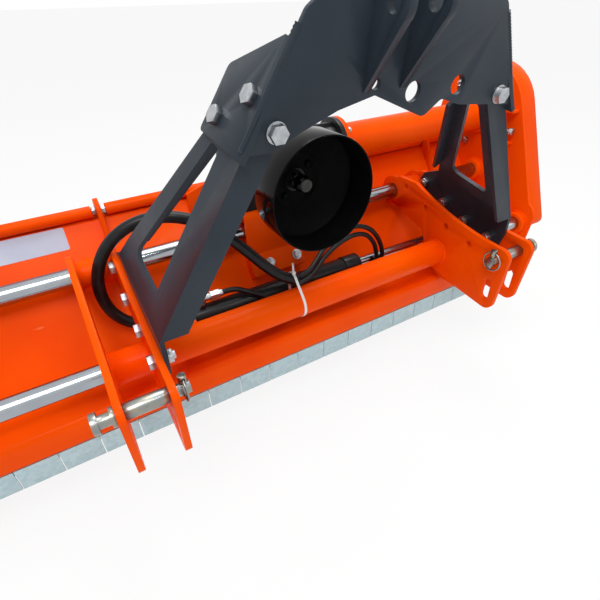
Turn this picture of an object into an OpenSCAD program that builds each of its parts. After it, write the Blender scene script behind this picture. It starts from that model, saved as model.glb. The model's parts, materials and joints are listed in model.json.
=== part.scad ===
// Flail mower for a tractor's three-point linkage, with a hydraulic side shift.
// The mower body carries two slide rails. The hitch carriage slides along them, so the body
// can be offset to one side of the tractor. A gearbox, a cross shaft and belts drive the rotor.
// Lengths are in millimetres. X runs along the rotor, Y points away from the tractor, Z is up.

/* [Mower body] */
// Clear width between the two side plates
body_w = 1750; // [1650:10:2100]
// Thickness of the side plates
side_t = 8; // [6:1:12]
// Thickness of the hood sheet
hood_t = 5; // [3:0.5:7]
// Height of the front rail's axis above the ground
rail_h = 315; // [305:5:350]
// Distance from the front rail back to the ridge of the hood
ridge_back = 300; // [295:1:310]
// Height of the ridge above the front rail
ridge_up = 184; // [180:1:188]
// Distance from the front rail back to the foot of the sloping panel
foot_back = 105; // [95:1:112]
// Drop from the front rail to the ledge in front of the panel
ledge_drop = 79; // [76:1:84]
// Distance from the front rail forward to the beam's front face
beam_fwd = 15; // [12:1:22]
// Height of the box beam
beam_h = 62; // [50:1:70]
// Depth of the box beam
beam_d = 55; // [40:1:70]

/* [Rails] */
// Diameter of the two slide rails
rail_d = 40; // [36:0.5:44]
// Distance of the rear rail behind the front rail
rail_back = 193; // [188:1:198]
// Height of the rear rail above the front rail
rail_up = 113; // [108:1:118]
// Outer diameter of the bosses that hold the rail ends
boss_d = 64; // [56:1:72]
// Length of the rail bosses
boss_len = 20; // [14:1:26]

/* [Hitch carriage] */
// Offset of the carriage's middle from the body's middle, as it stands
carriage_x = 142; // [132:1:150]
// Distance between the middles of the two lower hitch points
hitch_spread = 870; // [860:1:885]
// Clear gap between the two plates of a hitch point
hitch_gap = 70; // [62:1:76]
// Thickness of the hitch plates
plate_t = 12; // [10:1:15]
// Outer diameter of the front sleeve
sleeve_d = 68; // [62:1:74]
// Outer diameter of the two rear sleeves
rear_sleeve_d = 60; // [54:1:64]
// Wall of the slide bushes inside the sleeves
bush_wall = 4; // [3:0.5:6]
// Length of each slide bush
bush_len = 60; // [40:1:62]
// Radial clearance of a sliding or turning fit
run_gap = 0.05; // [0.03:0.01:0.1]

/* [Hitch points] */
// Diameter of the lower hitch pins
pin_d = 22; // [18:0.5:25]
// Distance of the hitch pins in front of the front rail
pin_fwd = 180; // [172:1:184]
// Height of the hitch pins above the front rail
pin_up = 62; // [56:1:64]
// Width of the slot below each pin hole
slot_w = 21; // [16:0.5:24]
// Distance between the ends of the slot's middle line
slot_len = 36; // [24:1:44]
// Radius of the plates' nose and tip corners
nose_r = 24; // [16:1:30]
// Diameter of the headstock bolts
bolt_d = 16; // [12:1:17]

/* [Headstock] */
// Thickness of the folded legs
leg_t = 8; // [6:1:10]
// Inward lean of the legs above their fold
leg_lean = 30.8; // [29:0.1:32]
// Width of the leg's front flange
flange_w = 48; // [36:1:60]
// Width of the leg's rear flange
rear_flange_w = 34; // [20:1:40]
// Thickness of the mast plates
mast_t = 8; // [6:1:12]
// Height of the top-link hole above the lower hitch pins
top_link_up = 510; // [495:1:520]
// Diameter of the top-link hole
top_link_d = 25.5; // [19.5:0.5:32.5]
// Clear gap between the top-link ears
ear_gap = 56; // [46:1:66]
// Thickness of the top-link ears
ear_t = 12; // [10:1:16]

/* [Drive line] */
// Place of the gearbox along the body, from its middle
gearbox_x = 120; // [110:1:125]
// Height of the gearbox shafts above the front rail
pto_up = 272; // [270:1:280]
// Diameter of the PTO guard
guard_d = 224; // [216:1:228]
// Length of the PTO guard
guard_len = 112; // [104:1:116]
// Wall of the PTO guard
guard_t = 3; // [2:0.5:5]
// Distance of the guard's rim in front of the front rail
guard_fwd = 65; // [60:1:70]
// Diameter of the splined PTO shaft
pto_d = 35; // [30:0.5:38]
// Distance of the cross shaft behind the front rail
drive_back = 225; // [222:1:228]
// Width of the gearbox casing
gearbox_w = 140; // [134:1:144]
// Outer diameter of the drive tube
tube_d = 85; // [80:1:90]
// Wall of the drive tube
tube_wall = 5; // [4:0.5:8]
// Diameter of the cross shaft
cross_d = 30; // [25:0.5:35]
// Outer diameter of the upper pulley
drive_pulley_d = 230; // [216:1:236]
// Outer diameter of the rotor pulley
rotor_pulley_d = 184; // [170:1:196]
// Number of belts
belt_n = 3; // [2:1:3]
// Distance between two belts
belt_pitch = 13; // [12.5:0.1:13.4]
// Depth of the belt case
case_depth = 52; // [51:1:62]
// Wall of the belt case
case_t = 2; // [1.5:0.5:3]

/* [Rotor] */
// Distance of the rotor behind the front rail
rotor_back = 310; // [306:1:314]
// Drop of the rotor's axis below the front rail
rotor_drop = 115; // [110:1:118]
// Diameter of the rotor tube
rotor_d = 108; // [100:1:114]
// Radius that the hammers sweep
cut_r = 165; // [155:1:170]
// Number of hammers
hammer_n = 27; // [18:1:29]
// Width of a hammer
hammer_w = 24; // [18:1:28]
// Distance of the hammer bolts from the rotor's axis
hammer_bolt_r = 80; // [76:1:84]
// Diameter of the rotor's stub shafts
stub_d = 50; // [40:1:56]

/* [Roller and skids] */
// Diameter of the rear roller
roller_d = 160; // [140:1:170]
// Distance of the roller behind the front rail
roller_back = 560; // [550:1:570]
// Diameter of the roller's stub axles
axle_d = 30; // [24:1:36]
// Thickness of the skids
skid_t = 10; // [8:1:14]
// Width of the skids
skid_w = 60; // [50:1:66]

/* [Rear hood] */
// Diameter of the ridge tube that the rear hood turns on
ridge_tube_d = 26; // [24:1:28]
// Thickness of the rear hood's sheet
rear_hood_t = 4; // [3:0.5:6]
// Diameter of the hinge bolts
hinge_bolt_d = 12; // [10:0.5:14]
// Thickness of the hinge lugs
lug_t = 10; // [8:1:14]
// Distance of the middle hinge lugs from the body's middle
lug_x = 245; // [230:1:260]
// Distance of the outer hinge lugs from the body's ends
lug_in = 140; // [120:1:170]

/* [Front flaps] */
// Distance from one flap to the next
flap_pitch = 78.5; // [70:0.5:90]
// Gap between two flaps
flap_gap = 2; // [1:0.5:4]
// Height of a flap
flap_h = 44; // [36:1:52]
// Thickness of a flap
flap_t = 3; // [2:0.5:4]
// Diameter of the rod that the flaps hang on
flap_rod_d = 10; // [8:0.5:12]

/* [Side-shift cylinder] */
// Distance of the cylinder's axis behind the front rail
cyl_back = 74; // [74:0.5:78]
// Drop of the cylinder's axis below the front rail
cyl_drop = 4; // [2:0.5:8]
// Outer diameter of the barrel
barrel_d = 52; // [48:0.5:56]
// Bore of the barrel
bore_d = 40; // [36:0.5:42]
// Diameter of the rod
rod_d = 25; // [20:0.5:28]
// Length of the barrel from its base to its gland
barrel_len = 455; // [450:1:460]
// Distance of the barrel's base end from the plate beside it
barrel_in = 106; // [104:1:110]
// Place of the rod's eye, from the body's middle
eye_x = 672; // [660:1:690]
// Outer diameter of the rod's eye
eye_d = 32; // [30:1:34]
// Travel of the carriage to the left
shift_left = 190; // [170:1:190]
// Travel of the carriage to the right
shift_right = 120; // [100:1:120]

/* [Hoses] */
// Diameter of the sleeve round the two hoses
loop_d = 25; // [24:0.5:26]
// Diameter of a hose
hose_d = 12; // [11:0.5:12.5]

/* [Hidden] */
$fn = 64;

// Colours
orange = [1.0, 0.40, 0.03];
slate = [0.20, 0.22, 0.26];
black = [0.06, 0.06, 0.06];
chrome = [0.80, 0.81, 0.83];
zinc = [0.70, 0.71, 0.72];
brass = [0.80, 0.66, 0.30];
galvanised = [0.66, 0.73, 0.76];
steel = [0.50, 0.50, 0.50];
tie_white = [0.93, 0.93, 0.92];

// Small clearance between pieces that lie side by side and move past each other
clear = 0.5;
eps = 0.01;

// Rails and body
rail_r = rail_d / 2;
half_w = body_w / 2;
case_out = half_w + side_t + case_depth;
skid_out = half_w + side_t / 2 + skid_w / 2;

// Sloping panel of the hood, as a line through its foot and its ridge
panel_slope = (ridge_up + ledge_drop) / (ridge_back - foot_back);
function panel_z(y) = -ledge_drop + panel_slope * (y - foot_back);
function panel_y(z) = foot_back + (z + ledge_drop) / panel_slope;

// Carriage plates, from the carriage's middle
plate_a = -hitch_spread / 2 - hitch_gap / 2 - plate_t;
plate_b = -hitch_spread / 2 + hitch_gap / 2;
plate_c = hitch_spread / 2 - hitch_gap / 2 - plate_t;
plate_d = hitch_spread / 2 + hitch_gap / 2;

// Hitch plate outline: a nose in front, a hollow upper edge and two rail bosses
nose_y = -pin_fwd - 35;
nose_z = pin_up + 30;
tip_y = nose_y + 14;
tip_z = -ledge_drop + 3;
rim_r = 770;
rim_top_y = rail_back - 88;
front_boss_r = sleeve_d / 2 + 18;
rear_boss_r = min(rail_r + 25, (rail_up - panel_z(rail_back)) / norm([1, panel_slope]) - 0.7);
function rim_z(y) = nose_z + rim_r - sqrt(rim_r * rim_r - (y - nose_y) * (y - nose_y));
plate_bolts = [[138, 139], [60, 107], [-18, 83], [-97, 67]];
bolt_r = bolt_d / 2;
bolt_hole_r = bolt_r + 0.5;

// Legs: the fold line rises towards the rear, and the front flange leans a little forward
fold_y = -138;
fold_z = 132;
fold_slope = 12.4;
front_tilt = 5.7;
leg_top = 405;
leg_len = 244;
// Sideways run of the leg's front edge for each millimetre along the tilted front plane
lean_run = 0.593;
leg_left_x = plate_b + plate_t;
leg_right_x = plate_d;
mast_top = 486;
mast_bolts = [[121, 336], [65, 388]];
// Run of the leg's rear edge forward for each millimetre up, and length of its flange
rear_run = 0.3266;
rear_flange_len = 250;
top_link_z = pin_up + top_link_up;
function mast_face_y(z) = fold_y - (z - fold_z) * tan(front_tilt) - mast_t / cos(front_tilt);
ear_r = 28;
top_link_y = mast_face_y(top_link_z) - 38;

// Drive line
gearbox_half = gearbox_w / 2;
nose_front = -guard_fwd + guard_len;
flange_r = tube_d / 2 + 20;
flange_t = 12;
flange_x = gearbox_x + 220;
saddle_t = 8;
gearbox_foot = pto_up - 168;
saddle_half = gearbox_half + 3;
saddle_top = pto_up - gearbox_foot - saddle_t;
saddle_y = rail_back - rail_r - 2;
pad_t = 26;
pad_lift = pad_t * norm([1, panel_slope]);
pulley_x = half_w + side_t + 2;
pulley_w = 2 * belt_pitch + 20;
belt_h = 9;

// Rotor
bearing_len = 34;
rotor_len = body_w - 2 * bearing_len - 10;
rotor_z = -rotor_drop;
hammer_turn = 120;
lug_plate_t = 10;
hammer_step = (rotor_len - 90) / (hammer_n - 1);

// Roller
bracket_t = 8;
roller_z = -rail_h + roller_d / 2;
roller_len = body_w - 2 * bracket_t - 10;
side_bottom = -rail_h + skid_t;

// Rear hood
hinge_z = ridge_up + ridge_tube_d / 2 + 3;
hinge_y = ridge_back + 2;
lug_end_x = half_w - lug_in;
lug_places = [-lug_end_x, -lug_x, lug_x + 150, lug_end_x];
lug_r = ridge_tube_d / 2 + 14;
nut_t = 9;
tube_stop = lug_t / 2 + nut_t + 1;
rear_hood_half = half_w - bracket_t - 5;

// Flaps
flap_axis_y = -beam_fwd + 10;
flap_axis_z = -ledge_drop - beam_h - 10;
knuckle_r = flap_rod_d / 2 + 3;
flap_n = floor((body_w - 20) / flap_pitch);

// Cylinder, with the piston placed so that both ends of the travel are free
barrel_x = plate_b + plate_t + barrel_in;
gland_len = 45;
base_len = 40;
piston_len = 30;
end_play = 5;
piston_x = carriage_x + barrel_x + barrel_len - gland_len - end_play - shift_left;
eye_pin_d = 16;
eye_t = 20;
ear_plate_t = 8;
barrel_r = barrel_d / 2;

// Hose routes, from the carriage's middle and the front rail's axis
loop_route = [[-40, 18, 46], [-74, 33, 62], [-102, 49, 87], [-127, 64, 116], [-152, 78, 145],
    [-179, 91, 173], [-210, 103, 198], [-244, 115, 215], [-282, 127, 224], [-322, 136, 224], [-361, 143, 212],
    [-395, 147, 189], [-421, 148, 157], [-437, 146, 119], [-441, 141, 79], [-432, 133, 41], [-408, 125, 11],
    [-373, 119, -5], [-330, 118, -8]];
rod_side_route = [[-33.2, 22, 51], [-2, 28, 56], [26, 43, 64], [52, 57, 75], [80, 66, 89], [110, 69, 102],
    [141, 67, 111], [172, 62, 109], [200, 58, 94], [222, 55.5, 69], [238, 54, 38], [245, 54, 6],
    [242, 55.5, -14], [233, 60, -29], [219, 67, -41], [203, 72.8, -47.2], [184.8, 74, -48]];
base_side_route = [[-40.4, 12, 40], [-6, 20, 42.5], [25, 36, 49], [56, 51, 61], [88, 58, 75], [122, 60, 87],
    [157, 60, 91], [190, 59, 80], [213, 57, 54], [222, 55.5, 30], [225.5, 54.5, 6], [222, 53.5, -15], [213, 52, -30],
    [199, 50.5, -41], [180, 49.5, -47], [140, 48, -49], [96, 47, -48], [55, 47, -46], [19, 46.5, -43],
    [-16, 45, -37], [-50, 43, -26], [-81, 41, -9], [-96, 41, 1], [-113, 43, 12], [-140, 53, 28.5], [-168, 68, 39.5],
    [-187, 73.2, 41.8], [-204.4, 74, 42]];

// Place of the whole in the part's frame: the middle of its box, with the ground at zero
frame_x = (case_out - skid_out) / 2;
frame_y = (top_link_y - ear_r + roller_back + roller_d / 2) / 2;
module from_rail() translate([-frame_x, -frame_y, rail_h]) children();
module on_carriage() from_rail() translate([carriage_x, 0, 0]) children();

// Plane geometry
function unit(v) = v / norm(v);
function left_of(v) = [-v[1], v[0]];
function flat(p) = [p[0], p[1]];
// Points of a round corner at p, between the directions towards a and b
function corner(a, p, b, n) =
    let (r = len(p) > 2 ? p[2] : 0, u = unit(flat(a) - flat(p)), v = unit(flat(b) - flat(p)),
        half = acos(max(-1, min(1, u * v))) / 2)
    r == 0 || half > 89.9 ? [flat(p)] :
    let (c = flat(p) + unit(u + v) * r / sin(half), s = flat(p) + u * r / tan(half) - c,
        e = flat(p) + v * r / tan(half) - c, a0 = atan2(s[1], s[0]), d = atan2(e[1], e[0]) - a0,
        turn = d > 180 ? d - 360 : d < -180 ? d + 360 : d)
    [for (k = [0:n]) c + r * [cos(a0 + turn * k / n), sin(a0 + turn * k / n)]];
// Closed outline and open path with round corners; a third number in a point is its radius
function outline(p, n = 8) =
    [for (i = [0:len(p) - 1]) each corner(p[(i + len(p) - 1) % len(p)], p[i], p[(i + 1) % len(p)], n)];
function path(p, n = 8) =
    [for (i = [0:len(p) - 1]) each i == 0 || i == len(p) - 1 ? [flat(p[i])] : corner(p[i - 1], p[i], p[i + 1], n)];
// Closed strip of thickness t on the left of an open path, or on its right where t is negative
function shifted(p, t) =
    [for (i = [0:len(p) - 1])
        let (a = unit(i == 0 ? p[1] - p[0] : p[i] - p[i - 1]), b = unit(i == len(p) - 1 ? a : p[i + 1] - p[i]),
            s = unit(left_of(a) + left_of(b)))
        p[i] + s * t / (s * left_of(a))];
function strip(p, t) = let (q = shifted(p, t)) concat(p, [for (i = [len(q) - 1:-1:0]) q[i]]);

// Solids from profiles in the Y-Z plane, and round bodies along X and Y
module across(x, w) translate([x, 0, 0]) rotate([90, 0, 90]) linear_extrude(w) children();
module rod_x(x, len, r) translate([x, 0, 0]) rotate([0, 90, 0]) cylinder(h = len, r = r);
module rod_y(y, len, r) translate([0, y, 0]) rotate([-90, 0, 0]) cylinder(h = len, r = r);
module hex_x(x, len, width) translate([x, 0, 0]) rotate([0, 90, 0]) cylinder(h = len, d = width / cos(30), $fn = 6);
module tube_x(x, len, r_out, r_in) difference() {
    rod_x(x, len, r_out);
    rod_x(x - 1, len + 2, r_in);
}
// Space under the outer face of the sloping panel
module below_panel(x, w) across(x, w) polygon([[foot_back - 60, panel_z(foot_back - 60)],
    [ridge_back, ridge_up], [ridge_back + 60, ridge_up], [ridge_back + 60, -200], [foot_back - 60, -200]]);
// Closed shape of a loop drawn tight round two circles
module loop_shape(c1, r1, c2, r2, n = 28) {
    d = c2 - c1;
    way = atan2(d[1], d[0]);
    reach = acos((r1 - r2) / norm(d));
    polygon(concat(
        [for (k = [0:n]) let (a = way + reach + (360 - 2 * reach) * k / n) c1 + r1 * [cos(a), sin(a)]],
        [for (k = [0:n]) let (a = way - reach + 2 * reach * k / n) c2 + r2 * [cos(a), sin(a)]]));
}
// Bolt along X: head before x, nut after x + grip
module bolt_x(x, grip, d) {
    rod_x(x - eps, grip + 2 * eps, d / 2);
    hex_x(x - 0.65 * d, 0.65 * d, 1.5 * d);
    hex_x(x + grip, 0.8 * d, 1.5 * d);
    rod_x(x + grip + 0.8 * d - eps, 0.3 * d, d / 2);
}

// Round tube swept along a smooth curve through a route's points
function curve_at(p, i, t) =
    let (n = len(p), a = i == 0 ? 2 * p[0] - p[1] : p[i - 1], b = p[i], c = p[i + 1],
        d = i + 2 > n - 1 ? 2 * p[n - 1] - p[n - 2] : p[i + 2])
    0.5 * (2 * b + t * (c - a) + t * t * (2 * a - 5 * b + 4 * c - d) + t * t * t * (3 * b - a - 3 * c + d));
function curve(p, steps) =
    concat([for (i = [0:len(p) - 2]) for (k = [0:steps - 1]) curve_at(p, i, k / steps)], [p[len(p) - 1]]);
module hose(route, d, steps, sides = 10) {
    c = curve(route, steps);
    n = len(c);
    ring_pts = [for (i = [0:n - 1])
        let (t = unit(c[min(i + 1, n - 1)] - c[max(i - 1, 0)]), u = unit(cross(t, [0, 1, 0])), v = cross(t, u))
        for (k = [0:sides - 1]) c[i] + d / 2 * (u * cos(360 * k / sides) + v * sin(360 * k / sides))];
    walls = [for (i = [0:n - 2]) for (k = [0:sides - 1])
        let (a = i * sides + k, b = i * sides + (k + 1) % sides) each [[a, a + sides, b], [b, a + sides, b + sides]]];
    caps = [[for (k = [0:sides - 1]) k], [for (k = [sides - 1:-1:0]) (n - 1) * sides + k]];
    polyhedron(points = ring_pts, faces = concat(walls, caps));
}

// Mower body

module hood_shell() color(orange) from_rail() {
    front = path([[ridge_back + 38, ridge_up], [ridge_back, ridge_up, 14], [foot_back, -ledge_drop, 26],
        [-beam_fwd, -ledge_drop, 14], [-beam_fwd, -ledge_drop - beam_h, 6],
        [-beam_fwd + beam_d, -ledge_drop - beam_h]]);
    beam_back = [[-beam_fwd + beam_d - hood_t, -ledge_drop - beam_h + hood_t / 2],
        [-beam_fwd + beam_d, -ledge_drop - beam_h + hood_t / 2],
        [-beam_fwd + beam_d, -ledge_drop - hood_t / 2], [-beam_fwd + beam_d - hood_t, -ledge_drop - hood_t / 2]];
    across(-half_w, body_w) {
        polygon(strip(front, hood_t));
        polygon(beam_back);
    }
}

// Side plate: round the rails in front, up to the ridge, and down to the skid
function side_outline() = [[-48, 48, 44], [rail_back - 45, rail_up + 52, 60], [ridge_back - 10, ridge_up + 44, 30],
    [rotor_back + 190, ridge_up - 70, 70], [roller_back - 10, 40, 80], [roller_back - 20, -190, 40],
    [roller_back - 60, side_bottom, 20], [rotor_back - 140, side_bottom, 60],
    [flap_axis_y + 40, flap_axis_z - 22, 30], [-beam_fwd - 14, flap_axis_z - 18, 12]];
// Belt case: a straight leaning front, a round top about the cross shaft and a bottom about the rotor
function case_outline(grow = 0) = [[-45 - grow, 4 - grow, 22], [125 - 0.7 * grow, pto_up + 148 + grow, 148 + grow],
    [340 + 0.8 * grow, pto_up + 148 + grow, 100], [500 + grow, rotor_z - 150 - grow, 120],
    [170 - 0.7 * grow, rotor_z - 150 - grow, 90], [115, -112 - grow, 60]];

module left_side_plate() color(orange) from_rail()
    across(-half_w - side_t, side_t) polygon(outline(side_outline()));

module right_side_plate() color(orange) from_rail() difference() {
    across(half_w, side_t) {
        polygon(outline(side_outline()));
        polygon(outline(case_outline()));
    }
    translate([0, rotor_back, rotor_z]) rod_x(half_w - 1, side_t + 2, stub_d / 2 + 4);
    translate([0, drive_back, pto_up]) rod_x(half_w - 1, side_t + 2, cross_d / 2 + 4);
}

module front_rail() color(chrome) from_rail() rod_x(-half_w, body_w, rail_r);

module rear_rail() color(chrome) from_rail() translate([0, rail_back, rail_up]) rod_x(-half_w, body_w, rail_r);

module rail_bosses() color(orange) from_rail()
    for (p = [[0, 0], [rail_back, rail_up]])
        for (x = [-half_w, half_w - boss_len])
            translate([0, p[0], p[1]]) tube_x(x, boss_len, boss_d / 2, rail_r + run_gap);

// Hinge lug: round about the ridge tube, with a tail welded down the panel
module hood_hinge_lugs() color(orange) from_rail() {
    tail = 62;
    for (x = lug_places) difference() {
        across(x - lug_t / 2, lug_t) {
            translate([hinge_y, hinge_z]) circle(lug_r);
            polygon([[hinge_y - tail, panel_z(hinge_y - tail) - 4], [hinge_y, hinge_z - lug_r - 10], [hinge_y, hinge_z],
                [hinge_y - 0.75 * lug_r, hinge_z + 0.66 * lug_r], [hinge_y - tail, panel_z(hinge_y - tail) + 14]]);
        }
        translate([0, hinge_y, hinge_z]) rod_x(x - lug_t, 2 * lug_t, hinge_bolt_d / 2 + run_gap);
        below_panel(x - lug_t, 2 * lug_t);
    }
}

module hood_hinge_bolts() color(zinc) from_rail() translate([0, hinge_y, hinge_z])
    for (x = lug_places) {
        rod_x(x - lug_t / 2 - 40, lug_t + 80, hinge_bolt_d / 2);
        for (s = [-lug_t / 2 - nut_t, lug_t / 2]) hex_x(x + s, nut_t, 1.55 * hinge_bolt_d);
    }

// Saddle: a foot on a pad, an upright in front of the rear rail, a top under the gearbox and two wings
module gearbox_saddle() color(orange) from_rail() {
    foot_y = saddle_y - 34;
    normal = unit([-panel_slope, 1]);
    across(gearbox_x - saddle_half, 2 * saddle_half) {
        polygon(strip(path([[foot_y, panel_z(foot_y) + pad_lift], [saddle_y, panel_z(saddle_y) + pad_lift, 14],
            [saddle_y, saddle_top, 12], [panel_y(saddle_top), saddle_top]]), saddle_t));
        low = [saddle_y - 14, panel_z(saddle_y - 14)];
        high = [saddle_y + 16, panel_z(saddle_y + 16)];
        polygon([low, high, high + normal * (pad_t + 1), low + normal * (pad_t + 1)]);
    }
    wing_y = ridge_back - 16;
    wing_in = gearbox_half + 1;
    wing_out = gearbox_half + 98;
    wing_low = panel_z(wing_y - saddle_t);
    difference() {
        for (s = [-1, 1]) translate([gearbox_x, wing_y, 0]) rotate([90, 0, 0]) linear_extrude(saddle_t)
            polygon([for (p = [[saddle_half - saddle_t, wing_low], [wing_out, wing_low], [wing_out, wing_low + 50],
                [wing_in + 8, saddle_top + 72], [wing_in, saddle_top + 72], [wing_in, saddle_top + 4],
                [saddle_half - saddle_t, saddle_top + 4]]) [s * p[0], p[1]]]);
        below_panel(gearbox_x - wing_out - 1, 2 * wing_out + 2);
    }
}

// Gearbox: a cast casing with a nose for the PTO shaft, a neck towards the drive tube and an end cap
module gearbox() color(black) from_rail() translate([gearbox_x, drive_back, pto_up]) difference() {
    neck_end = flange_x - gearbox_x;
    nose_len = drive_back - nose_front;
    union() {
        intersection() {
            translate([-gearbox_half, -gearbox_half, -gearbox_half]) cube(gearbox_w);
            rod_x(-gearbox_half, gearbox_w, gearbox_half * 1.26);
            rod_y(-gearbox_half, gearbox_w, gearbox_half * 1.26);
            translate([0, 0, -gearbox_half]) cylinder(h = gearbox_w, r = gearbox_half * 1.3);
        }
        translate([-gearbox_half, -50, -gearbox_foot]) cube([gearbox_w, 110, gearbox_foot]);
        rod_y(-nose_len, nose_len, 52);
        rod_y(-gearbox_half - 12, 20, 66);
        rod_x(0, neck_end, 44);
        rod_x(gearbox_half - 8, 20, 62);
        rod_x(neck_end - flange_t, flange_t, flange_r);
        rod_x(-gearbox_half - 10, 30, 58);
        for (a = [0:60:300]) rotate([a, 0, 0]) translate([gearbox_half, -4, 40])
            cube([neck_end - flange_t - gearbox_half, 8, 12]);
        translate([0, 0, gearbox_half - 2]) cylinder(h = 12, r = 14);
        translate([0, 0, gearbox_half + 8]) cylinder(h = 12, d = 22, $fn = 6);
    }
    rod_y(-nose_len - 1, 71, pto_d / 2 + run_gap);
    rod_x(neck_end - 60, 61, cross_d / 2 + run_gap);
}

// Bolts of the saddle's foot, the drive flange and the guard
module gearbox_bolts() color(zinc) from_rail() {
    for (x = [gearbox_x - 24, gearbox_x + 54]) {
        y = saddle_y - 19;
        translate([x, y, panel_z(y) + pad_lift]) rotate([atan(panel_slope), 0, 0])
            translate([0, 0, saddle_t]) {
            cylinder(h = 3, r = 13);
            cylinder(h = 11, d = 22, $fn = 6);
        }
    }
    translate([0, drive_back, pto_up]) for (a = [48:60:348]) rotate([a, 0, 0]) translate([0, 0, flange_r - 9])
        hex_x(flange_x + flange_t, 7, 15);
    translate([gearbox_x, nose_front - guard_t, pto_up]) for (a = [45:90:315])
        rotate([0, a, 0]) translate([0, 0, 40]) rotate([90, 0, 0]) cylinder(h = 7, d = 17, $fn = 6);
}

// PTO guard: a deep cup with a rolled rim, a stepped floor and a hole for the shaft
module pto_guard() color(black) from_rail() translate([gearbox_x, 0, pto_up]) rotate([90, 0, 0]) {
    r = guard_d / 2;
    floor_z = -nose_front;
    step_z = floor_z + 30;
    rim_z0 = guard_fwd;
    rotate_extrude($fn = 96) polygon([[24, floor_z], [58, floor_z], [r - 8, step_z], [r, step_z + 8], [r, rim_z0],
        [r - guard_t, rim_z0], [r - guard_t, step_z + 8 + guard_t], [r - 8 - guard_t, step_z + guard_t],
        [58 - guard_t, floor_z + guard_t], [24, floor_z + guard_t]]);
}

module drive_tube() color(orange) from_rail() translate([0, drive_back, pto_up]) {
    tube_x(flange_x, half_w - flange_x, tube_d / 2, tube_d / 2 - tube_wall);
    tube_x(flange_x, flange_t, flange_r, tube_d / 2 - tube_wall);
    tube_x(half_w - 8, 8, tube_d / 2 + 10, tube_d / 2 - tube_wall);
}

// Belt case cover: a rim round the case outline and a flat outer face
module belt_cover() color(orange) from_rail() difference() {
    across(half_w + side_t, case_depth) polygon(outline(case_outline()));
    across(half_w + side_t - 1, case_depth - case_t + 1) polygon(outline(case_outline(-case_t)));
}

// V-belts round the two pulleys
module belt_shape(grow) loop_shape([drive_back, pto_up], drive_pulley_d / 2 + grow,
    [rotor_back, rotor_z], rotor_pulley_d / 2 + grow);
module belts() color(black) from_rail()
    for (i = [0:belt_n - 1])
        across(pulley_x + 10 - 4 + i * belt_pitch, 8) difference() {
            belt_shape(1);
            belt_shape(1 - belt_h);
        }

// Flanged bearings of the rotor and the bearing at the end of the drive tube
module shaft_bearings() color(steel) from_rail() {
    translate([0, rotor_back, rotor_z]) for (s = [-1, 1]) {
        inner = s < 0 ? -half_w : half_w - bearing_len;
        plate = s < 0 ? -half_w : half_w - 12;
        difference() {
            union() {
                rod_x(inner, bearing_len, stub_d / 2 + 18);
                rod_x(plate, 12, stub_d / 2 + 42);
            }
            rod_x(inner - 1, bearing_len + 2, stub_d / 2 + run_gap);
        }
    }
    translate([0, drive_back, pto_up]) tube_x(half_w - 40, 40, tube_d / 2 - tube_wall, cross_d / 2 + run_gap);
}

// Skids: a flat sole under each side plate, turned up in front
module skids() color(orange) from_rail()
    for (x = [-skid_out, skid_out - skid_w]) {
        turn = [rotor_back - 140, side_bottom];
        front = turn + 85 * unit([flap_axis_y + 40, flap_axis_z - 22] - turn);
        across(x, skid_w) polygon(strip(path([[roller_back - 66, side_bottom], [turn[0], turn[1], 60], front]), skid_t));
    }

// Roller brackets: plates inside the side plates, round about the roller's axle
module roller_brackets() color(orange) from_rail()
    for (x = [-half_w, half_w - bracket_t]) difference() {
        across(x, bracket_t) {
            translate([roller_back, roller_z]) circle(axle_d / 2 + 28);
            polygon(outline([[roller_back - 130, roller_z + 150, 20], [roller_back - 44, roller_z + 150, 20],
                [roller_back + 40, roller_z + 18], [roller_back - 10, roller_z - 41], [roller_back - 130, roller_z + 30, 20]]));
        }
        translate([0, roller_back, roller_z]) rod_x(x - 1, bracket_t + 2, axle_d / 2 + run_gap);
    }

module flap_rod() color(zinc) from_rail() translate([0, flap_axis_y, flap_axis_z])
    rod_x(-half_w, body_w, flap_rod_d / 2);

// Cylinder rod: the piston inside the barrel, the rod and the eye at its end
module cylinder_rod() color(chrome) from_rail() translate([0, cyl_back, -cyl_drop]) difference() {
    union() {
        rod_x(piston_x - piston_len, piston_len, bore_d / 2 - run_gap);
        rod_x(piston_x - eps, eye_x - piston_x, rod_d / 2);
        translate([eye_x, 0, -eye_t / 2]) cylinder(h = eye_t, d = eye_d);
    }
    translate([eye_x, 0, -eye_t]) cylinder(h = 2 * eye_t, d = eye_pin_d + 2 * run_gap);
    for (s = [-1, 1]) translate([eye_x - eye_d, -eye_d, s > 0 ? eye_t / 2 : -eye_t / 2 - eye_d])
        cube([2 * eye_d, 2 * eye_d, eye_d]);
}

// Rod lug: two flat ears on the panel, above and below the eye
module rod_lug() color(orange) from_rail() difference() {
    gap = eye_t / 2 + clear;
    intersection() {
        across(eye_x - eye_d, 2 * eye_d) for (z = [-cyl_drop + gap, -cyl_drop - gap - ear_plate_t])
            polygon([[cyl_back - eye_d, z], [panel_y(z), z], [panel_y(z + ear_plate_t), z + ear_plate_t],
                [cyl_back - eye_d, z + ear_plate_t]]);
        translate([eye_x, cyl_back, -100]) union() {
            cylinder(h = 200, d = eye_d);
            translate([-eye_d / 2, 0, 0]) cube([eye_d, 140, 200]);
        }
    }
    translate([eye_x, cyl_back, -100]) cylinder(h = 200, d = eye_pin_d + 2 * run_gap);
}

module rod_pin() color(zinc) from_rail() translate([eye_x, cyl_back, -cyl_drop]) {
    len = eye_t + 2 * clear + 2 * ear_plate_t;
    translate([0, 0, -len / 2 - 5]) cylinder(h = len + 5 + eps, d = eye_pin_d);
    translate([0, 0, len / 2]) cylinder(h = 5, d = eye_pin_d + 8);
}

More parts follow.
